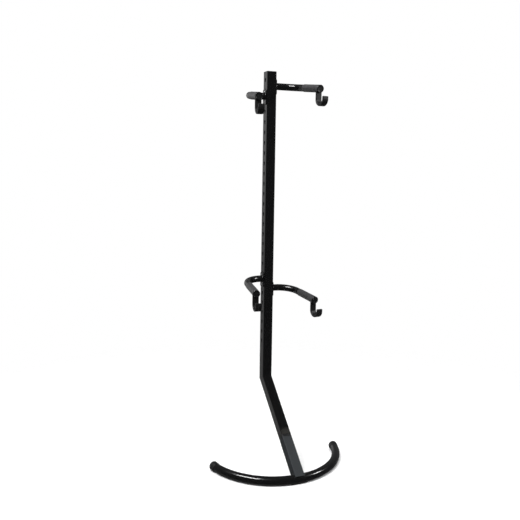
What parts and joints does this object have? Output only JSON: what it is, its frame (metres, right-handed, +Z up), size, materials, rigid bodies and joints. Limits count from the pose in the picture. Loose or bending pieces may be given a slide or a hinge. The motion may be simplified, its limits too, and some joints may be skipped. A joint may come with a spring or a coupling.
{
  "type": "bike storage tower",
  "caption": "Leaning floor-standing tower that stores two bicycles one above the other on height-adjustable cradle arms.",
  "frame": {"origin": "on the floor, centred from side to side and midway between the front of the floor tube and the face of the wall buffers", "axes": "+Z up; +Y towards the wall that the post leans on; +X along the wall, to the right for somebody facing the wall; the bicycles hang on the -Y side"},
  "size_m": [0.7156, 0.4716, 1.957],
  "materials": {
    "gloss_black_paint": "gloss black powder coat",
    "satin_black_paint": "satin black powder coat, a little greyer",
    "zinc_plated_steel": "bright zinc plate, slightly dull",
    "grey_sleeve_rubber": "matt dark grey soft rubber",
    "black_rubber": "matt black rubber",
    "black_plastic": "moulded black plastic, satin"
  },
  "bodies": {
    "stand": {"base_tube": "gloss_black_paint", "base_cap_left": "black_rubber", "base_cap_right": "black_rubber", "floor_strip": "black_rubber", "leg_stub": "satin_black_paint", "leg_band": "black_plastic", "leg_sleeve": "gloss_black_paint", "leg_tube": "gloss_black_paint", "leg_lower_bolt": "gloss_black_paint", "leg_lower_nut": "zinc_plated_steel", "leg_upper_bolt": "gloss_black_paint", "leg_upper_nut": "zinc_plated_steel", "post_lower": "gloss_black_paint", "post_sleeve": "gloss_black_paint", "post_upper": "gloss_black_paint", "post_cap": "black_plastic", "post_lower_bolt": "gloss_black_paint", "post_lower_nut": "zinc_plated_steel", "post_upper_bolt": "gloss_black_paint", "post_upper_nut": "zinc_plated_steel", "wall_buffer_upper": "black_rubber", "wall_buffer_upper_screw": "zinc_plated_steel", "wall_buffer_lower": "black_rubber", "wall_buffer_lower_screw": "zinc_plated_steel"},
    "upper_right_arm": {"upper_right_arm_tube": "gloss_black_paint", "upper_right_arm_sleeve": "grey_sleeve_rubber", "upper_right_arm_end_cap": "black_plastic", "upper_right_arm_hook": "gloss_black_paint", "upper_right_arm_hook_rubber": "black_rubber", "upper_right_arm_bracket": "gloss_black_paint", "upper_right_arm_lower_stud": "zinc_plated_steel", "upper_right_arm_upper_stud": "zinc_plated_steel"},
    "upper_left_arm": {"upper_left_arm_tube": "gloss_black_paint", "upper_left_arm_sleeve": "grey_sleeve_rubber", "upper_left_arm_end_cap": "black_plastic", "upper_left_arm_hook": "gloss_black_paint", "upper_left_arm_hook_rubber": "black_rubber", "upper_left_arm_bracket": "gloss_black_paint", "upper_left_arm_lower_stud": "zinc_plated_steel", "upper_left_arm_upper_stud": "zinc_plated_steel"},
    "lower_right_arm": {"lower_right_arm_tube": "gloss_black_paint", "lower_right_arm_sleeve": "grey_sleeve_rubber", "lower_right_arm_end_cap": "black_plastic", "lower_right_arm_hook": "gloss_black_paint", "lower_right_arm_hook_rubber": "black_rubber", "lower_right_arm_bracket": "gloss_black_paint", "lower_right_arm_lower_stud": "zinc_plated_steel", "lower_right_arm_upper_stud": "zinc_plated_steel"},
    "lower_left_arm": {"lower_left_arm_tube": "gloss_black_paint", "lower_left_arm_sleeve": "grey_sleeve_rubber", "lower_left_arm_end_cap": "black_plastic", "lower_left_arm_hook": "gloss_black_paint", "lower_left_arm_hook_rubber": "black_rubber", "lower_left_arm_bracket": "gloss_black_paint", "lower_left_arm_lower_stud": "zinc_plated_steel", "lower_left_arm_upper_stud": "zinc_plated_steel"}
  },
  "joints": [
    {"name": "upper_right_arm_height", "type": "slide", "parent": "stand", "child": "upper_right_arm", "axis": [0, 0, 1], "range_m": [-0.6096, 0]},
    {"name": "upper_left_arm_height", "type": "slide", "parent": "stand", "child": "upper_left_arm", "axis": [0, 0, 1], "range_m": [-0.5588, 0.0508]},
    {"name": "lower_right_arm_height", "type": "slide", "parent": "stand", "child": "lower_right_arm", "axis": [0, 0, 1], "range_m": [-0.254, 0.0508]},
    {"name": "lower_left_arm_height", "type": "slide", "parent": "stand", "child": "lower_left_arm", "axis": [0, 0, 1], "range_m": [-0.3048, 0]}
  ]
}
